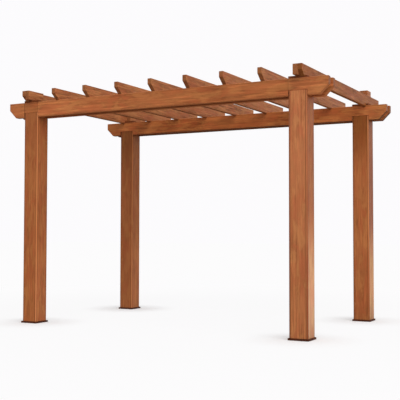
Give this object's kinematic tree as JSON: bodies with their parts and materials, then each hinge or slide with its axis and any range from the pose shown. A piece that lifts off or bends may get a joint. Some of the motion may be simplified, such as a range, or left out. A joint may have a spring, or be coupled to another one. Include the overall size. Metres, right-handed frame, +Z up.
{
  "type": "pergola",
  "caption": "open garden frame of square posts on base plates, paired beam boards with cut corners along front and back, and notched rafters across the top",
  "frame": {"origin": "on the ground under the middle of the whole frame", "axes": "+Z up, +X to the right along the beams, +Y from the front to the back along the rafters"},
  "size_m": [3.528, 2.348, 2.455],
  "materials": {
    "posts": "satin",
    "beams": "satin",
    "rafters": "satin",
    "base_plates": "matt",
    "cap_plates": "matt"
  },
  "bodies": {
    "root": {"post_front_left": "posts", "post_front_right": "posts", "post_back_left": "posts", "post_back_right": "posts", "base_plate_front_left": "base_plates", "base_plate_front_right": "base_plates", "base_plate_back_left": "base_plates", "base_plate_back_right": "base_plates", "cap_plate_front_left": "cap_plates", "cap_plate_front_right": "cap_plates", "cap_plate_back_left": "cap_plates", "cap_plate_back_right": "cap_plates", "front_beam_outer": "beams", "front_beam_inner": "beams", "back_beam_inner": "beams", "back_beam_outer": "beams", "rafter_1": "rafters", "rafter_2": "rafters", "rafter_3": "rafters", "rafter_4": "rafters", "rafter_5": "rafters", "rafter_6": "rafters", "rafter_7": "rafters", "rafter_8": "rafters", "rafter_9": "rafters", "block_front_left": "rafters", "block_front_right": "rafters", "block_back_left": "rafters", "block_back_right": "rafters"}
  },
  "joints": []
}
